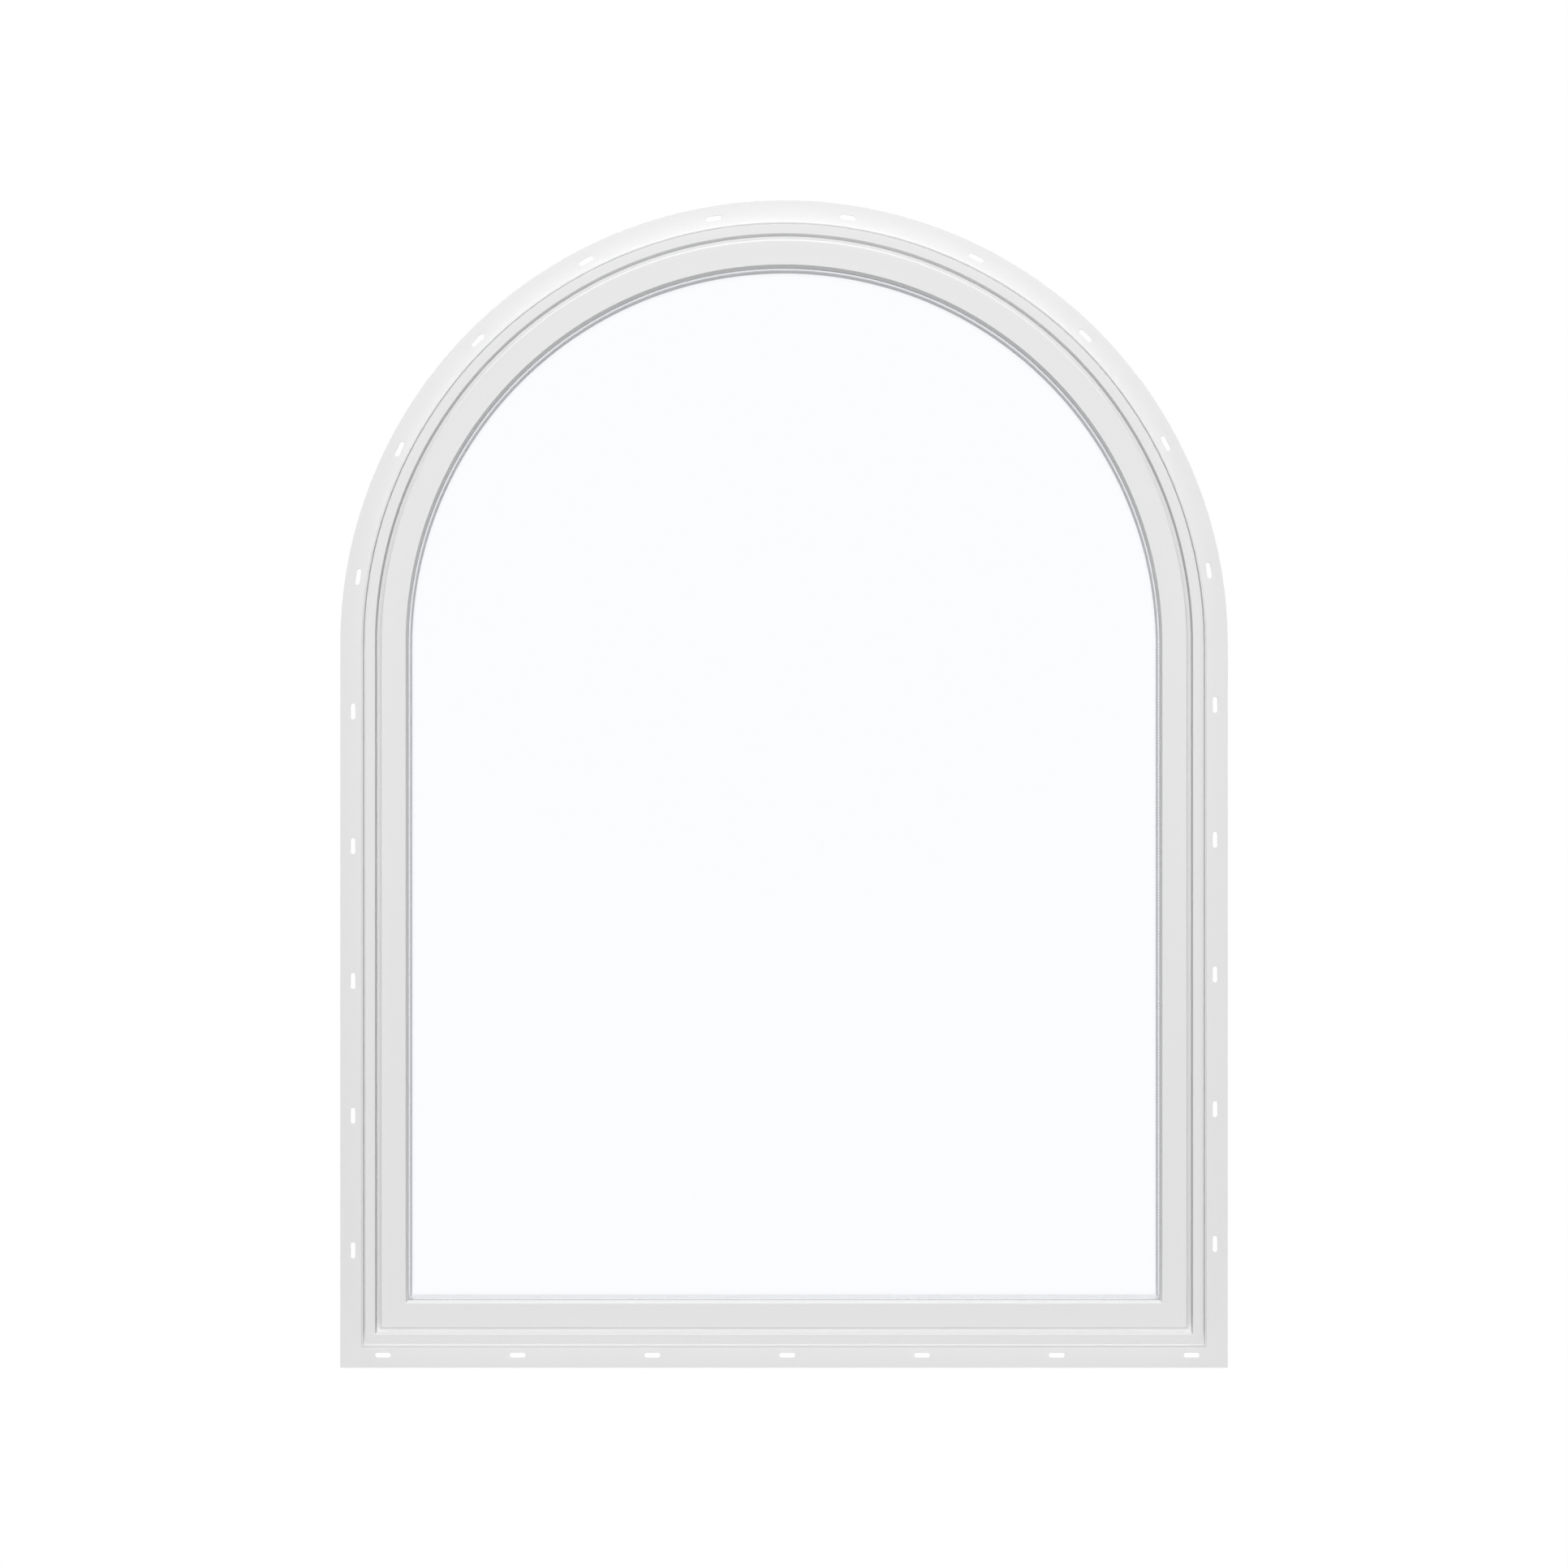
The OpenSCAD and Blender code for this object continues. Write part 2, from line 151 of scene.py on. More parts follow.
class Tree:
    """A node tree that is being built, of a material, the world or Geometry Nodes."""

    def __init__(self, owner):
        self.owner = owner
        if isinstance(owner, bpy.types.GeometryNodeTree):
            self.data = owner
        else:
            owner.use_nodes = True
            self.data = owner.node_tree
        self.data.nodes.clear()

    def node(self, kind, settings=None, inputs=None):
        """Add a node and give back its outputs by name."""
        made = self.data.nodes.new(kind)
        for name, value in (settings or {}).items():
            setattr(made, name, value)
        for key, value in (inputs or {}).items():
            socket = made.inputs[key]
            if isinstance(value, Value):
                self.data.links.new(value.socket, socket)
            else:
                socket.default_value = value
        return {s.name: Value(self, s) for s in reversed(made.outputs) if s.enabled}

    def surface(self, shader):
        """Link the shader to the output and give back the finished material or world."""
        end = "World" if isinstance(self.owner, bpy.types.World) else "Material"
        self.node("ShaderNodeOutput" + end, None, {"Surface": shader})
        return self.owner


def new_material(name):
    return Tree(bpy.data.materials.new(name))


def grey(v):
    return (v, v, v, 1)


def blend(tree, factor, low, high):
    """A colour between two, which are sockets 6 and 7 of a Mix node."""
    return tree.node("ShaderNodeMix", {"data_type": "RGBA"}, {
        "Factor": factor, 6: low, 7: high})["Result"]


def bumped(tree, strength, distance, height):
    """The normal of a surface that the pattern raises by up to the distance, in metres."""
    return tree.node("ShaderNodeBump", None, {
        "Strength": strength, "Distance": distance, "Height": height})["Normal"]


print("node helpers ready")

# %% [markdown]
# ## White vinyl
# Window vinyl is a solid white plastic with a soft satin sheen. It leaves its die with
# very fine lines that run along the bar, a faint orange peel, and slow changes of sheen.
# The lines have to follow each bar: up the jambs, along the sill and round the arch. A
# picture stretched over the bars would need a map for each, so the pattern is computed
# from the place on the object instead. Two numbers do it: how far a point lies inside the
# frame's outer line, and how far along that line it is. At the lower corners the nearer
# side wins, so the lines meet in a mitre by themselves.

# %% Coordinates that follow the bars
ARCH_RADIUS = 0.45085
SPRING_HEIGHT = 0.75565


def bar_coordinates(tree):
    """Distance in from the outer line, depth, and distance along the line."""
    place = tree.node("ShaderNodeTexCoord")["Object"]
    xyz = tree.node("ShaderNodeSeparateXYZ", None, {0: place})
    x, z = xyz["X"].size(), xyz["Z"]
    rise = (z - SPRING_HEIGHT).most(0)
    turn = tree.node("ShaderNodeMath", {"operation": "ARCTAN2"}, {0: rise, 1: x})["Value"]
    from_side = ARCH_RADIUS - (x * x + rise * rise) ** 0.5
    on_sill = z < from_side
    up_and_over = z.least(SPRING_HEIGHT) + turn * ARCH_RADIUS
    along = on_sill * xyz["X"] + (1 - on_sill) * up_and_over
    return z.least(from_side), xyz["Y"], along


def drawn_noise(tree, coordinates, width, length, detail=3.0):
    """Noise whose grains are so wide, and so long in the direction of the bar, in metres."""
    across, depth, along = coordinates
    stretched = tree.node("ShaderNodeCombineXYZ", None, {
        "X": across * (1 / width), "Y": depth * (1 / width), "Z": along * (1 / length)})
    return tree.node("ShaderNodeTexNoise", None, {
        "Vector": stretched["Vector"], "Scale": 1.0, "Detail": detail})["Fac"]


print("outer line: radius", ARCH_RADIUS, "above", SPRING_HEIGHT)

# %% [markdown]
# Three patterns of different size make the surface. The die lines are 0.6 mm wide and run
# for a quarter of a metre. The bands change the shade and the sheen so little that only a
# shine shows them. The orange peel is nearly as wide as it is long. Each pair of sizes
# below is the width and the length of one grain, in metres.

# %% Vinyl
VINYL_WHITE = 0.79
SHADE_DRIFT = 0.006
SATIN = 0.38
DIE_LINES = (0.0006, 0.25)
SHEEN_BANDS = (0.006, 0.9)
ORANGE_PEEL = (0.0011, 0.0016)


def window_vinyl():
    tree = new_material("white_vinyl")
    coordinates = bar_coordinates(tree)
    lines = drawn_noise(tree, coordinates, *DIE_LINES)
    bands = drawn_noise(tree, coordinates, *SHEEN_BANDS, detail=2.0)
    peel = drawn_noise(tree, coordinates, *ORANGE_PEEL, detail=2.0)
    skin = tree.node("ShaderNodeBsdfPrincipled", None, {
        "Base Color": blend(tree, bands, grey(VINYL_WHITE - SHADE_DRIFT),
                            grey(VINYL_WHITE + SHADE_DRIFT)),
        "Roughness": bands * 0.1 + lines * 0.08 + SATIN,
        "IOR": 1.53, "Specular IOR Level": 0.08,
        "Normal": bumped(tree, strength=0.12, distance=0.00003,
                         height=lines * 0.6 + peel * 0.4)})
    return tree.surface(skin["BSDF"])


VINYL = window_vinyl()
print("vinyl nodes:", len(VINYL.node_tree.nodes))

# %% [markdown]
# ## Glass, spacer and seals
# Each pane is flat, so light leaves it on the line on which it came in, only a little
# weaker and cooler. That makes a clear surface with a reflection on top the honest way to
# draw it: real refraction would only keep the lamps from lighting what lies behind it.
# The reflection grows with the fifth power of the slant, from 4.3% of the light head-on.
# The Fresnel node would do that too, but it takes the back of a face for the inside of
# solid glass and turns it into a full mirror past 41 degrees. Wiped glass is never quite
# even, so the sharpness of its shine drifts a little over the pane.
# The spacer is rolled aluminium with a dull grain along its length. The tapes, gaskets and
# weatherstrips are soft plastics with a fine matt grain, which differ in their shade.

# %% Glass and small materials
PANE_TINT = (0.9911, 0.9937, 0.9987, 1)
HEAD_ON = 0.043
PANE_BLUR = 0.005
WIPE_DRIFT = 0.01
ROLLED_GRAIN = (0.0004, 0.06)
DULL_METAL = (0.84, 0.85, 0.87, 1)
BRIGHT_METAL = (0.90, 0.91, 0.93, 1)


def even_noise(tree, scale, detail):
    """Noise without a direction, from the place on the object."""
    return tree.node("ShaderNodeTexNoise", None, {
        "Vector": tree.node("ShaderNodeTexCoord")["Object"],
        "Scale": scale, "Detail": detail})["Fac"]


def window_glass():
    tree = new_material("clear_glass")
    clear = tree.node("ShaderNodeBsdfTransparent", None, {"Color": PANE_TINT})["BSDF"]
    wiped = even_noise(tree, scale=5.0, detail=1.0)
    shine = tree.node("ShaderNodeBsdfGlossy", None, {
        "Color": grey(1.0), "Roughness": wiped * WIPE_DRIFT + PANE_BLUR})["BSDF"]
    facing = tree.node("ShaderNodeLayerWeight", None, {"Blend": 0.5})["Facing"]
    mirrored = facing ** 5 * (1 - HEAD_ON) + HEAD_ON
    both = tree.node("ShaderNodeMixShader", None, {"Fac": mirrored, 1: clear, 2: shine})
    return tree.surface(both["Shader"])


def rolled_metal():
    tree = new_material("rolled_aluminium")
    lines = drawn_noise(tree, bar_coordinates(tree), *ROLLED_GRAIN)
    skin = tree.node("ShaderNodeBsdfPrincipled", None, {
        "Base Color": blend(tree, lines, DULL_METAL, BRIGHT_METAL),
        "Metallic": 1.0, "Roughness": lines * 0.15 + 0.12,
        "Normal": bumped(tree, strength=0.2, distance=0.00003, height=lines)})
    return tree.surface(skin["BSDF"])


def rubber(name, low, high, rough):
    """A soft plastic between two greys, with a fine matt grain."""
    tree = new_material(name)
    grain = even_noise(tree, scale=1800.0, detail=3.0)
    skin = tree.node("ShaderNodeBsdfPrincipled", None, {
        "Base Color": blend(tree, grain, grey(low), grey(high)),
        "Roughness": grain * 0.15 + rough,
        "Normal": bumped(tree, strength=0.3, distance=0.0001, height=grain)})
    return tree.surface(skin["BSDF"])


GLASS = window_glass()
METAL = rolled_metal()
BLACK = rubber("black_rubber", 0.02, 0.05, 0.6)
TAPE = rubber("grey_tape", 0.56, 0.66, 0.75)
print("small finishes:", [m.name for m in (GLASS, METAL, BLACK, TAPE)])

# %% [markdown]
# ## Dressing the CAD parts
# The name of a part says what it is made of, so a short rule picks the finish. The CAD
# meshes themselves stay as they are. Where a finer shape is wanted, a new piece stands for
# the part further on.

# %% Give each part its finish
def finish_of(name):
    if name.startswith("glass"):
        return GLASS
    if name.startswith("spacer"):
        return METAL
    if name.startswith(("frame", "nailing", "sash", "glazing_bead")):
        return VINYL
    return TAPE if name in ("glazing_tape", "bead_gasket") else BLACK


for name, node in NODES.items():
    for place in node.material_slots:
        place.material = finish_of(name)
print("vinyl parts:", sum(finish_of(name) == VINYL for name in NODES))

# %% [markdown]
# ## One rule for every bar
# A vinyl bar is squeezed out of a die, so its shape is one outline moved along a line: up
# the jamb, round the arch, down and back along the sill. The CAD bars have sharp edges,
# but a die leaves each edge softly rounded, and those rounds catch the light. Bevelling
# a copy of the CAD mesh would be the obvious way, and the thin fin gets its rim like that
# further on, but on these wide bars the flats of the CAD arch would show as facets.
# Geometry Nodes rebuild the bar from its rule instead: a grid with one row for each point
# of the outline and one column for each station on the line. A station knows the way
# inwards, longer at a mitred corner, so the corner keeps its width.

# %% The sweep as a Geometry Nodes tree
WELD = 0.000001


def geometry_tree(name, inputs, result):
    """An empty tree that takes a Line and the named inputs, and gives one result."""
    data = bpy.data.node_groups.new(name, "GeometryNodeTree")
    for key, kind in (("Line", "Geometry"), *inputs):
        data.interface.new_socket(key, in_out="INPUT", socket_type="NodeSocket" + kind)
    data.interface.new_socket(result, in_out="OUTPUT", socket_type="NodeSocketGeometry")
    return Tree(data)


def sweep_tree():
    tree = geometry_tree("swept_bar", (("Outline", "Object"), ("Round steps", "Int"),
                                       ("Closed", "Int"), ("Finish", "Material")), "Bar")
    given = tree.node("NodeGroupInput")

    def stored(name, kind):
        return tree.node("GeometryNodeInputNamedAttribute", {"data_type": kind},
                         {"Name": name})["Attribute"]

    def sample(geometry, kind, value, index):
        return tree.node("GeometryNodeSampleIndex", {"data_type": kind, "domain": "POINT"}, {
            "Geometry": geometry, "Value": value, "Index": index})["Value"]

    drawn = tree.node("GeometryNodeObjectInfo", None, {"Object": given["Outline"]})
    outline = tree.node("GeometryNodeMeshToCurve", None, {"Mesh": drawn["Geometry"]})
    soft = tree.node("GeometryNodeFilletCurve", {"mode": "POLY"}, {
        "Curve": outline["Curve"], "Count": given["Round steps"],
        "Radius": stored("ease", "FLOAT"), "Limit Radius": True})["Curve"]
    points = tree.node("GeometryNodeAttributeDomainSize", {"component": "CURVE"}, {
        "Geometry": soft})["Point Count"]
    stations = tree.node("GeometryNodeAttributeDomainSize", {"component": "MESH"}, {
        "Geometry": given["Line"]})["Point Count"]
    columns = stations + given["Closed"]
    grid = tree.node("GeometryNodeMeshGrid", None, {
        "Vertices X": points + 1, "Vertices Y": columns})["Mesh"]
    index = tree.node("GeometryNodeInputIndex")["Index"]
    row = (index / columns).floor()
    column = index - row * columns
    place = tree.node("GeometryNodeInputPosition")["Position"]
    base = sample(given["Line"], "FLOAT_VECTOR", place, column % stations)
    inward = sample(given["Line"], "FLOAT_VECTOR", stored("inward", "FLOAT_VECTOR"),
                    column % stations)
    drawn_at = tree.node("ShaderNodeSeparateXYZ", None, {
        0: sample(soft, "FLOAT_VECTOR", place, row % points)})
    moved = tree.node("ShaderNodeVectorMath", {"operation": "MULTIPLY_ADD"}, {
        0: inward, 1: drawn_at["X"], 2: base})["Vector"]
    depth = tree.node("ShaderNodeCombineXYZ", None, {"Y": drawn_at["Y"] * -1})["Vector"]
    final = tree.node("ShaderNodeVectorMath", {"operation": "ADD"}, {0: moved, 1: depth})
    bar = tree.node("GeometryNodeSetPosition", None, {
        "Geometry": grid, "Position": final["Vector"]})["Geometry"]
    bar = tree.node("GeometryNodeMergeByDistance", None, {
        "Geometry": bar, "Distance": WELD})["Geometry"]
    bar = tree.node("GeometryNodeRealizeInstances", None, {"Geometry": bar})["Geometry"]
    bar = tree.node("GeometryNodeSetMaterial", None, {
        "Geometry": bar, "Material": given["Finish"]})["Geometry"]
    tree.node("NodeGroupOutput", None, {"Bar": bar})
    return tree.data


SWEEP = sweep_tree()
print("sweep nodes:", len(SWEEP.nodes))

# %% [markdown]
# ## The line and its stations
# The arch gets a station every degree and a half, which leaves chords too short to see.
# Straight bars need none between their ends, but a few there keep the faces from
# becoming long slivers. The walk starts at the lower left mitre, where the way inwards is
# up and to the right at once, and goes round clockwise.

# %% Stations
ARCH_STEPS = 120
JAMB_STEPS = 8
SILL_STEPS = 10


def on_arch(step):
    """A station on the arch, counted from the left: its (x, z) and the way inwards."""
    turn = math.pi * (1 - step / ARCH_STEPS)
    u, w = math.cos(turn), math.sin(turn)
    return (ARCH_RADIUS * u, SPRING_HEIGHT + ARCH_RADIUS * w), (-u, -w)


def turned_over(line):
    """The same line on the other side of the window, walked the other way."""
    return [((-x, z), (-u, w)) for (x, z), (u, w) in reversed(line)]


ARCH = [on_arch(step) for step in range(ARCH_STEPS + 1)]
JAMB = [((-ARCH_RADIUS, SPRING_HEIGHT * step / JAMB_STEPS), (1, 0 if step else 1))
        for step in range(JAMB_STEPS)]
SILL = [((ARCH_RADIUS * (1 - 2 * step / SILL_STEPS), 0), (0, 1))
        for step in range(1, SILL_STEPS)]
WHOLE_LINE = JAMB + ARCH + turned_over(JAMB) + SILL
print("stations:", len(WHOLE_LINE))

# %% [markdown]
# ## From rule to mesh
# The tree is given the line as points that know their way inwards, and the outline as a
# loop of edges that know how far each corner is rounded. A modifier runs it, and what it
# makes is kept as a plain mesh, because the finished piece has to stand on its own.

# %% Run a tree and keep what it makes
MM = 0.001


def plain_object(name, data):
    made = bpy.data.objects.new(name, data)
    bpy.context.collection.objects.link(made)
    return made


def add_numbers(mesh, name, kind, values):
    """Give each point a number or a vector, under a name that a tree can ask for."""
    field = mesh.attributes.new(name, kind, "POINT").data
    for item, value in zip(field, values):
        if kind == "FLOAT":
            item.value = value
        else:
            item.vector = value


def keep_result(piece):
    """What the modifiers make becomes the piece's own mesh, and the modifiers go."""
    bpy.context.view_layer.update()
    graph = bpy.context.evaluated_depsgraph_get()
    mesh = bpy.data.meshes.new_from_object(
        piece.evaluated_get(graph), preserve_all_data_layers=True, depsgraph=graph)
    piece.modifiers.clear()
    piece.data = mesh


def run_tree(piece, group, inputs):
    """A modifier knows the tree's inputs by identifier, so each name is looked up."""
    maker = piece.modifiers.new(group.name, "NODES")
    maker.node_group = group
    for item in group.interface.items_tree:
        if item.in_out == "INPUT" and item.name in inputs:
            maker[item.identifier] = inputs[item.name]
    keep_result(piece)


print("ready to run", SWEEP.name)

# %% [markdown]
# ## One bar and its shading
# Smooth shading mixes the normals of neighbouring faces, so a flat face would look hollow
# beside its rounded edge. The Weighted Normal modifier lets the larger face decide, which
# keeps a flat face flat right up to the rounding. The ends of an open bar are filled here
# too, and a bar that came out inside out is turned.

# %% Sweep one bar
ROUND_STEPS = 3
SHARP_ANGLE = math.radians(40)


def swept_bar(name, outline, line, closed, finish):
    """outline holds (inwards, outdoors, rounding) in millimetres."""
    track = bpy.data.meshes.new(name + "_line")
    track.from_pydata([(x, 0, z) for (x, z), _ in line], [], [])
    add_numbers(track, "inward", "FLOAT_VECTOR", [(u, 0, w) for _, (u, w) in line])
    loop = bpy.data.meshes.new(name + "_outline")
    count = len(outline)
    loop.from_pydata([(u * MM, d * MM, 0) for u, d, _ in outline],
                     [(i, (i + 1) % count) for i in range(count)], [])
    add_numbers(loop, "ease", "FLOAT", [r * MM for _, _, r in outline])
    drawing = plain_object(name + "_drawing", loop)
    piece = plain_object(name, track)
    run_tree(piece, SWEEP, {"Outline": drawing, "Round steps": ROUND_STEPS,
                            "Closed": int(closed), "Finish": finish})
    bpy.data.objects.remove(drawing)
    return piece


def finish_shading(piece):
    """Outward faces, closed ends, and shading that keeps the flats flat."""
    work = bmesh.new()
    work.from_mesh(piece.data)
    open_edges = [e for e in work.edges if e.is_boundary]
    if open_edges:
        bmesh.ops.holes_fill(work, edges=open_edges)
    if work.calc_volume(signed=True) < 0:
        bmesh.ops.reverse_faces(work, faces=work.faces)
    print(piece.name, "faces", len(work.faces), "litres",
          round(work.calc_volume(signed=True) * 1000, 3),
          "open edges", sum(not e.is_manifold for e in work.edges))
    work.to_mesh(piece.data)
    work.free()
    piece.data.shade_smooth()
    piece.data.set_sharp_from_angle(angle=SHARP_ANGLE)
    piece.modifiers.new("flat faces", "WEIGHTED_NORMAL").keep_sharp = True
    keep_result(piece)
    return piece


print("sweep ready")

# %% [markdown]
# ## The frame
# The frame is one hollow bar, welded into a closed ring and cleaned, so no joint shows. Its
# nose stands in front of a ledge for the sash, and its stop reaches in behind. Only the
# outside of the bar is rebuilt, because its chambers can't be seen. Sizes of outlines are
# in millimetres: depths are counted outdoors from the fin's back face, and widths inwards
# from the outer line.

# %% Frame
FRONT = 34.925
LEDGE = 16.425
BACK = -47.625
STOP = -40.025
SOFT = 0.35
EDGE = 0.4
NOSE = 10
POCKET = 18.5
STOP_REACH = 31

frame_outline = [
    (0, FRONT, EDGE), (NOSE, FRONT, EDGE), (NOSE, LEDGE, SOFT), (POCKET, LEDGE, SOFT),
    (POCKET, STOP, SOFT), (STOP_REACH, STOP, EDGE), (STOP_REACH, BACK, EDGE),
    (0, BACK, SOFT)]
frame_ring = finish_shading(swept_bar("frame_ring", frame_outline, WHOLE_LINE, True, VINYL))
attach(frame_ring, "root")
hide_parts("frame_head", "frame_jamb_left", "frame_jamb_right", "frame_sill")

# %% [markdown]
# ## The nailing fin
# The fin is thin, flat and punched with slots, so there is nothing to sweep. What the solid
# lacks is the soft rim that a die and a punch leave, and that rim is what draws a fine
# outline round the fin and every slot. A copy of each part's mesh gets it from a bevel on
# the sharp edges alone, and then stands for the part. The ends of the strips stay square,
# because there one strip is welded to the next and no groove shows. A bevel that stops at
# such an end pulls the shading askew, so the broad sides get their own normals back.

# %% Nailing fin
RIM = 0.35
RIM_STEPS = 2
SAME_POINT = 0.000005
NEARLY = 0.01
FLAT = 0.9999


def at_joint(middle, normal):
    """Whether a face is the end of a strip, on the spring line or in a mitre."""
    level = abs(normal.z) > 1 - NEARLY
    slanted = abs(abs(normal.x) - abs(normal.z)) < NEARLY
    off_spring = abs(middle.z - SPRING_HEIGHT)
    off_mitre = abs(ARCH_RADIUS - abs(middle.x) - middle.z)
    return (level and off_spring < SAME_POINT) or (slanted and off_mitre < SAME_POINT)


def settle_normals(mesh):
    """The broad sides and the ends keep their own normals, and so does a stray corner."""
    shading = [Vector(corner.vector) for corner in mesh.corner_normals]
    for face in mesh.polygons:
        flat = abs(face.normal.y) > FLAT or at_joint(face.center, face.normal)
        for corner in face.loop_indices:
            if flat or shading[corner].angle(face.normal) > SHARP_ANGLE:
                shading[corner] = face.normal
    mesh.normals_split_custom_set(shading)


def rimmed_copy(node):
    work = bmesh.new()
    work.from_mesh(NODES[node].data)
    bmesh.ops.remove_doubles(work, verts=work.verts, dist=SAME_POINT)
    sharp = [e for e in work.edges if e.is_manifold and e.calc_face_angle() > SHARP_ANGLE
             and not any(at_joint(f.calc_center_median(), f.normal) for f in e.link_faces)]
    bmesh.ops.bevel(work, geom=sharp, offset=RIM * MM, offset_type="OFFSET",
                    segments=RIM_STEPS, profile=0.5, affect="EDGES", clamp_overlap=True)
    mesh = bpy.data.meshes.new(node + "_rimmed")
    work.to_mesh(mesh)
    work.free()
    mesh.materials.clear()
    mesh.materials.append(VINYL)
    strip = finish_shading(plain_object("rimmed_" + node, mesh))
    settle_normals(strip.data)
    return strip


for node in sorted(name for name in NODES if name.startswith("nailing_fin")):
    strip = rimmed_copy(node)
    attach(strip, "root")
    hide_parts(node)

# %% [markdown]
# ## The sash
# The fixed sash is a second welded ring inside the frame. Its outer edge is bevelled, and
# its leg reaches in front of the glass, so that the pane is set from indoors.

# %% Sash
SASH_FRONT = 26.625
FLANGE = 19.825
SASH_BACK = -38.025
LEG = 2.0
SIGHT = 42.25
SASH_EDGE = 14.55
SASH_BEVEL = 1.8
SASH_WALL = 20.5
BEAD_SEAT = 29.5

sash_outline = [
    (SASH_EDGE + SASH_BEVEL, SASH_FRONT, SOFT), (SASH_EDGE, SASH_FRONT - SASH_BEVEL, SOFT),
    (SASH_EDGE, FLANGE, SOFT), (SASH_WALL, FLANGE, SOFT), (SASH_WALL, SASH_BACK, SOFT),
    (BEAD_SEAT, SASH_BACK, SOFT), (BEAD_SEAT, LEG, SOFT), (SIGHT, LEG, SOFT),
    (SIGHT, SASH_FRONT, EDGE)]
sash_ring = finish_shading(swept_bar("sash_ring", sash_outline, WHOLE_LINE, True, VINYL))
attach(sash_ring, "root")
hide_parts("sash_head", "sash_stile_left", "sash_stile_right",
            "sash_bottom_rail")

# %% [markdown]
# ## The glazing beads
# The beads hold the glass from indoors. They aren't welded: each is cut to a mitre and
# pressed home, so a hairline stays open between one bead and the next. The same sweep
# makes them, this time along open stretches of the line that stop a tenth of a millimetre
# short of the joint, and the ends are closed afterwards.

# %% Beads
BEAD_FRONT = -17.375
BEAD_BEVEL = 1.4
JOINT = 0.0001

bead_outline = [
    (BEAD_SEAT, BEAD_FRONT, SOFT), (SIGHT, BEAD_FRONT, SOFT),
    (SIGHT, SASH_BACK + BEAD_BEVEL, SOFT), (SIGHT - BEAD_BEVEL, SASH_BACK, SOFT),
    (BEAD_SEAT, SASH_BACK, SOFT)]
left_line = ([((-ARCH_RADIUS, JOINT), (1, 1))] + JAMB[1:]
             + [((-ARCH_RADIUS, SPRING_HEIGHT - JOINT), (1, 0))])
bottom_line = ([((ARCH_RADIUS - JOINT, 0), (-1, 1))] + SILL
               + [((-ARCH_RADIUS + JOINT, 0), (1, 1))])
bar_lines = {"head": ARCH, "left": left_line,
             "right": turned_over(left_line), "bottom": bottom_line}
for side, line in bar_lines.items():
    bead = finish_shading(swept_bar("bead_" + side, bead_outline, line, False, VINYL))
    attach(bead, "root")
    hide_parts("glazing_bead_" + side)

# %% [markdown]
# ## The spacer
# A folded aluminium tube keeps the two panes apart. Its shoulders slant away on the hidden
# side to leave room for the sealant. It is swept along the same four lines as the beads,
# so that its face follows the arch closely enough to carry the fine slits that come next.

# %% Spacer
PANE_FRONT = -3.0
PANE_BACK = -12.875
SPACER_FOOT = 35.25
SHOULDER = 1.8

spacer_outline = [
    (SIGHT, PANE_FRONT, SOFT), (SPACER_FOOT + SHOULDER, PANE_FRONT, SOFT),
    (SPACER_FOOT, PANE_FRONT - SHOULDER, SOFT), (SPACER_FOOT, PANE_BACK + SHOULDER, SOFT),
    (SPACER_FOOT + SHOULDER, PANE_BACK, SOFT), (SIGHT, PANE_BACK, SOFT)]
for side, line in bar_lines.items():
    tube = finish_shading(swept_bar("spacer_bar_" + side, spacer_outline, line, False, METAL))
    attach(tube, "root")
    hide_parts("spacer_" + side)

# %% [markdown]
# ## Breather holes in the spacer
# A spacer tube is full of drying beads, and two rows of pin-fine slits in the face between
# the panes let them reach the air in there. Seen through the glass they give the metal
# its dotted look. Each slit is drawn as a dark pill on the face rather than as a hole, and
# its dark grey is painted shade, the shade that fills a real hole. There are over two
# thousand, so they are instances along a curve: a flat slit is made once, the spacer's line
# is resampled at an even pitch, and each slit turns with the curve. Realize Instances makes
# plain mesh of them at the end.

# %% Slits along the spacer
SLIT_PITCH = 3.0
SLIT_LENGTH = 1.2
SLIT_WIDTH = 0.3
SLIT_RISE = 0.03
SPACER_ROWS = (-5.6, -10.3)


def slits_tree():
    tree = geometry_tree("slits_on_a_line", (
        ("Pitch", "Float"), ("Length", "Float"), ("Width", "Float"), ("Height", "Float"),
        ("Finish", "Material")), "Slits")
    given = tree.node("NodeGroupInput")
    slit = tree.node("GeometryNodeMeshCylinder", {"fill_type": "NGON"}, {
        "Vertices": 8, "Radius": 0.5, "Depth": 1.0})["Mesh"]
    sizes = tree.node("ShaderNodeCombineXYZ", None, {
        "X": given["Width"], "Y": given["Height"], "Z": given["Length"]})["Vector"]
    upright = tree.node("GeometryNodeTransform", None, {
        "Geometry": slit, "Rotation": (math.radians(90), 0, 0)})["Geometry"]
    slit = tree.node("GeometryNodeTransform", None, {
        "Geometry": upright, "Scale": sizes})["Geometry"]
    curve = tree.node("GeometryNodeMeshToCurve", None, {"Mesh": given["Line"]})["Curve"]
    stops = tree.node("GeometryNodeCurveToPoints", {"mode": "LENGTH"}, {
        "Curve": curve, "Length": given["Pitch"]})
    placed = tree.node("GeometryNodeInstanceOnPoints", None, {
        "Points": stops["Points"], "Instance": slit, "Rotation": stops["Rotation"]})
    made = tree.node("GeometryNodeRealizeInstances", None, {
        "Geometry": placed["Instances"]})["Geometry"]
    made = tree.node("GeometryNodeSetMaterial", None, {
        "Geometry": made, "Material": given["Finish"]})["Geometry"]
    tree.node("NodeGroupOutput", None, {"Slits": made})
    return tree.data


SLITS = slits_tree()
# The slits' dark grey is painted shade, which stands for the shade inside each hole.
SLIT_SHADE = rubber("slit_shadow", 0.20, 0.28, 0.7)


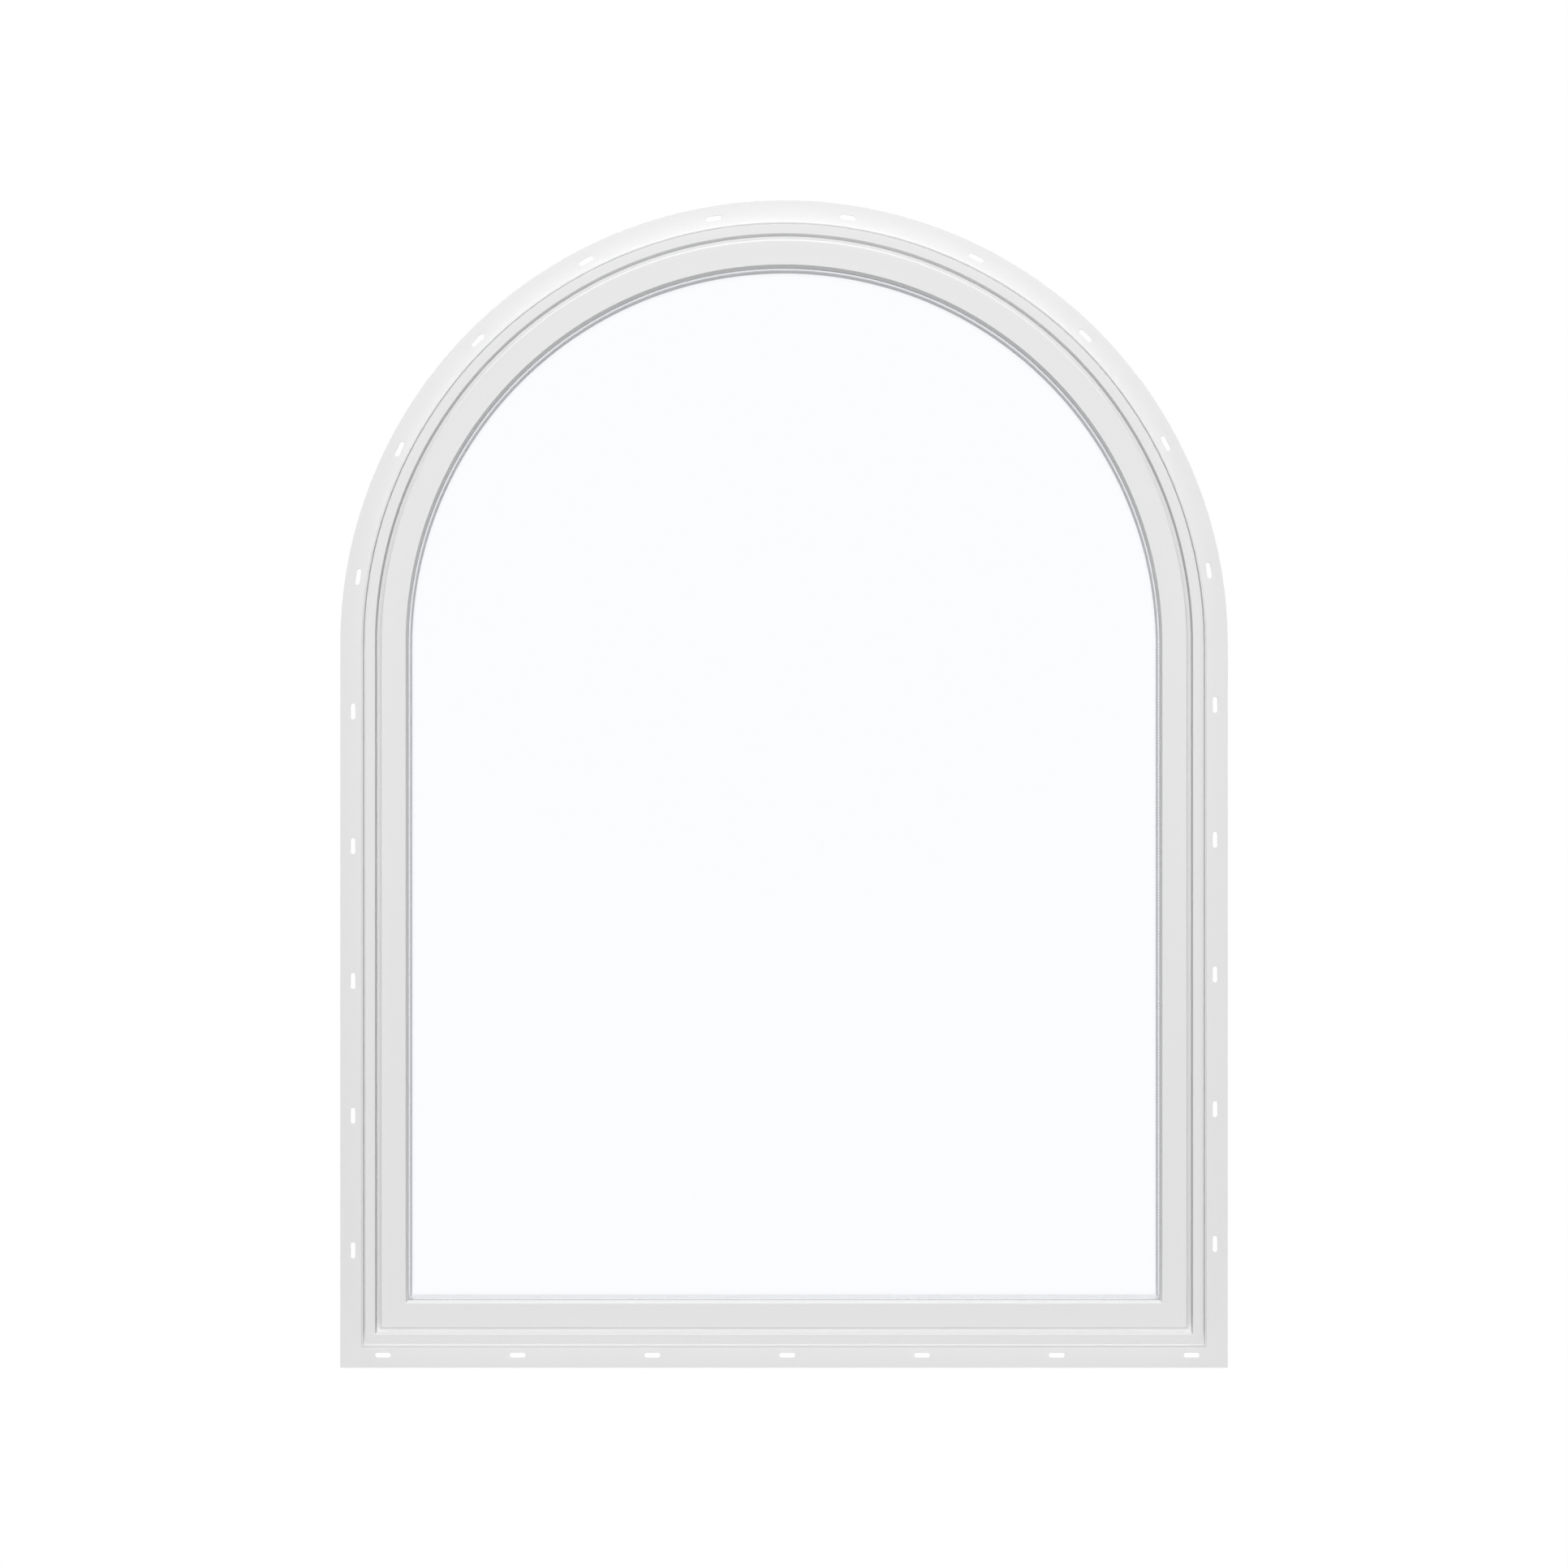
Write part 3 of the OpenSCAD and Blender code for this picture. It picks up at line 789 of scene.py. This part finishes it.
def slit_row(name, depth):
    """One row of slits all round, on the spacer's face at that depth."""
    inset = SIGHT * MM
    places, edges = [], []
    for line in bar_lines.values():
        first = len(places)
        places += [(x + u * inset, -depth * MM, z + w * inset) for (x, z), (u, w) in line]
        edges += [(i, i + 1) for i in range(first, len(places) - 1)]
    track = bpy.data.meshes.new(name)
    track.from_pydata(places, edges, [])
    piece = plain_object(name, track)
    run_tree(piece, SLITS, {
        "Pitch": SLIT_PITCH * MM, "Length": SLIT_LENGTH * MM, "Width": SLIT_WIDTH * MM,
        "Height": 2 * SLIT_RISE * MM, "Finish": SLIT_SHADE})
    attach(piece, "root")
    print(name, "faces", len(piece.data.polygons), "spans",
          [round(max(v.co[i] for v in piece.data.vertices), 4) for i in range(3)])


for number, depth in enumerate(SPACER_ROWS):
    slit_row("spacer_slits_%d" % (number + 1), depth)

# %% [markdown]
# ## The backdrop
# The backdrop is white to the camera and to what reflects or passes light, and dim to
# everything else, so that it looks clean without flooding the part. Light Path tells these
# rays apart. The floor fades into the same mix further on, so one helper serves both.

# %% World
SKY = 0.30
WHITE = 1.0


def seen_by_eye(tree):
    """1 for what the camera sees, in a mirror or through glass too, and 0 for the rest."""
    ray = tree.node("ShaderNodeLightPath")
    return ray["Is Camera Ray"].most(ray["Is Glossy Ray"]).most(ray["Is Transmission Ray"])


def backdrop(tree, kind):
    """White to the eye and dim to what it lights, made of Background or Emission nodes."""
    dim, white = (tree.node("ShaderNode" + kind, None, {
        "Color": grey(1.0), "Strength": strength})[kind] for strength in (SKY, WHITE))
    return tree.node("ShaderNodeMixShader", None, {
        "Fac": seen_by_eye(tree), 1: dim, 2: white})["Shader"]


sky = Tree(bpy.data.worlds.new("studio"))
bpy.context.scene.world = sky.surface(backdrop(sky, "Background"))
print("world nodes:", len(sky.data.nodes))

# %% [markdown]
# ## Light
# The picture is lit softly and without deep shadows: the faces that look at the camera
# are nearly even, a little brighter at the top, the edges that look up are the brightest,
# and the walls that look sideways or down are the darkest. One lamp in front, above the
# camera, lights the faces, two lamps high up light the edges, and the dim even sky does
# the rest. The front lamp and the stronger of the high ones cast no shadow, because no
# step of the frame darkens the next one in the picture. The weaker high one keeps the
# shadow on the floor. A fourth lamp stands behind, because the indoor side is looked at
# too. It is low and far off, where the panes don't mirror its light into the camera.
# The power that a lamp needs grows with the square of its distance, so the table gives the
# light that it lays on a face turned to it, and the power is worked out from that.

# %% Lamps
CENTRE = Vector((0, 0, 0.6))
LAMPS = (  # name, place, width, light on a face, casts a shadow, shows in shiny things
    ("lamp_front", (0, -6.0, 3.5), 2.0, 0.61, False, False),
    ("lamp_above", (0, -4.0, 14.0), 5.0, 0.09, True, True),
    ("lamp_fill", (0, -4.0, 14.0), 5.0, 0.29, False, True),
    ("lamp_behind", (0, 9.0, 1.6), 3.0, 0.58, True, False))


def hang_lamp(name, place, width, level, casts, shows):
    """A round lamp that looks at the window's centre."""
    way = CENTRE - Vector(place)
    data = bpy.data.lights.new(name, "AREA")
    data.shape = "DISK"
    data.size = width
    data.energy = level * math.pi ** 2 * way.length ** 2
    data.use_shadow = casts
    made = plain_object(name, data)
    made.location = place
    made.rotation_euler = way.to_track_quat("-Z", "Y").to_euler()
    made.visible_camera = False
    made.visible_transmission = False
    made.visible_glossy = shows


for row in LAMPS:
    hang_lamp(*row)

# %% [markdown]
# ## The floor
# A window like this sits about 90 cm above the floor, so the floor lies well below it. It
# fades out with distance, so no edge or horizon shows behind the window.

# %% Floor
FLOOR_HEIGHT = -0.9
FLOOR_GREY = 0.68
FLOOR_REACH = 6.0
FADE_START = 0.8
FADE_END = 2.6

corners = [(x * FLOOR_REACH, y * FLOOR_REACH, FLOOR_HEIGHT)
           for x, y in ((-1, -1), (1, -1), (1, 1), (-1, 1))]
mesh = bpy.data.meshes.new("floor")
mesh.from_pydata(corners, [], [(0, 1, 2, 3)])
floor = plain_object("floor", mesh)
paint = new_material("floor_paint")
place = paint.node("ShaderNodeTexCoord")["Object"]
spot = paint.node("ShaderNodeSeparateXYZ", None, {0: place})
far = (spot["X"] * spot["X"] + spot["Y"] * spot["Y"]) ** 0.5
fade = paint.node("ShaderNodeMapRange", {"interpolation_type": "SMOOTHSTEP"}, {
    "Value": far, "From Min": FADE_START, "From Max": FADE_END})["Result"]
matt = paint.node("ShaderNodeBsdfDiffuse", None, {"Color": grey(FLOOR_GREY)})["BSDF"]
shown = paint.node("ShaderNodeMixShader", None, {
    "Fac": fade, 1: matt, 2: backdrop(paint, "Emission")})
floor.data.materials.append(paint.surface(shown["Shader"]))
print("floor at", FLOOR_HEIGHT)

# %% [markdown]
# ## The view transform
# The picture keeps Blender's plain view transform, so a colour renders as it is written.

# %% Finish
bpy.context.scene.view_settings.view_transform = "Standard"
